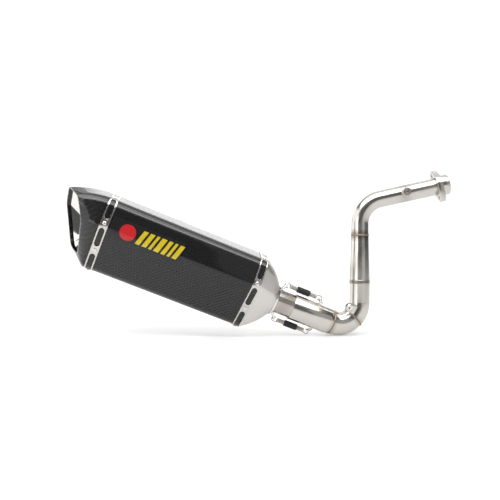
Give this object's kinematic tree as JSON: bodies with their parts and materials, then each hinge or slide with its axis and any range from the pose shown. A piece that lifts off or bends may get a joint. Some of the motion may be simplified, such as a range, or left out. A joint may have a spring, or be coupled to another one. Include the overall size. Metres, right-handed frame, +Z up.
{
  "type": "motorcycle exhaust system",
  "caption": "Motorcycle racing exhaust with a bent header, tapered link pipe, sprung slip joint and a six-sided carbon muffler with a slanted outlet.",
  "frame": {"origin": "centre of the port-end face of the header, where it meets the cylinder head", "axes": "+X runs forward, out of the port end, and the muffler lies behind towards -X; +Z is up; +Y is the muffler's bracket side, towards the machine"},
  "size_m": [0.696, 0.1491, 0.3058],
  "materials": {
    "brushed_stainless": "satin",
    "heat_tinted_stainless": "satin",
    "polished_steel": "polished",
    "satin_metal": "satin",
    "band_steel": "satin",
    "rivet_aluminium": "satin",
    "carbon_fibre": "gloss",
    "raw_steel": "matt",
    "fibre_packing": "matt",
    "black_rubber": "matt",
    "spring_steel": "satin",
    "black_label": "satin",
    "copper": "satin"
  },
  "bodies": {
    "header": {"port_collar": "brushed_stainless", "upper_header": "brushed_stainless", "taper_tube": "brushed_stainless", "joint_ring": "brushed_stainless", "lower_bend": "brushed_stainless", "lower_elbow": "brushed_stainless", "link_pipe": "brushed_stainless", "sensor_bung": "brushed_stainless", "header_bracket": "brushed_stainless", "bracket_boss": "polished_steel", "upper_link_hook": "polished_steel", "lower_link_hook": "polished_steel", "upper_spring": "spring_steel", "lower_spring": "spring_steel", "upper_spring_sleeve": "black_rubber", "lower_spring_sleeve": "black_rubber"},
    "head_flange": {"head_flange": "brushed_stainless"},
    "sensor_plug": {"sensor_plug": "raw_steel", "plug_washer": "copper"},
    "muffler": {"sleeve": "carbon_fibre", "end_cap": "carbon_fibre", "outlet_liner": "polished_steel", "rear_band": "band_steel", "front_band": "band_steel", "front_band_rivet_1": "rivet_aluminium", "front_band_rivet_2": "rivet_aluminium", "front_band_rivet_3": "rivet_aluminium", "front_band_rivet_4": "rivet_aluminium", "front_band_rivet_5": "rivet_aluminium", "front_band_rivet_6": "rivet_aluminium", "front_band_rivet_7": "rivet_aluminium", "rear_band_rivet_1": "rivet_aluminium", "rear_band_rivet_2": "rivet_aluminium", "rear_band_rivet_3": "rivet_aluminium", "rear_band_rivet_4": "rivet_aluminium", "rear_band_rivet_5": "rivet_aluminium", "rear_band_rivet_6": "rivet_aluminium", "rear_band_rivet_7": "rivet_aluminium", "inlet_cone": "satin_metal", "cone_collar": "polished_steel", "inlet_stub": "heat_tinted_stainless", "core_tube": "raw_steel", "packing": "fibre_packing", "front_plate": "raw_steel", "rear_plate": "raw_steel", "label_plate": "black_label", "upper_stub_hook": "polished_steel", "lower_stub_hook": "polished_steel", "hanger_bracket": "brushed_stainless", "hanger_bush": "black_rubber", "hanger_spacer": "raw_steel"},
    "noise_insert": {"noise_insert": "raw_steel", "insert_screw": "polished_steel"}
  },
  "joints": [
    {"name": "flange_swivel", "type": "hinge", "parent": "header", "child": "head_flange", "pos_m": [0, 0, 0], "axis": [0.9763, 0, 0.2164], "continuous": true},
    {"name": "slip_joint", "type": "slide", "parent": "header", "child": "muffler", "axis": [-0.9158, -0.145, 0.3746], "range_m": [0, 0.015], "stiffness_N_per_m": 4000, "springref_m": -0.01, "deforming": ["upper_spring", "lower_spring", "upper_spring_sleeve", "lower_spring_sleeve"]},
    {"name": "insert_slide", "type": "slide", "parent": "muffler", "child": "noise_insert", "axis": [-0.9158, -0.145, 0.3746], "range_m": [0, 0.095]},
    {"name": "plug_travel", "type": "slide", "parent": "header", "child": "sensor_plug", "axis": [-0.0226, -0.9945, 0.1021], "range_m": [0, 0.014]}
  ]
}
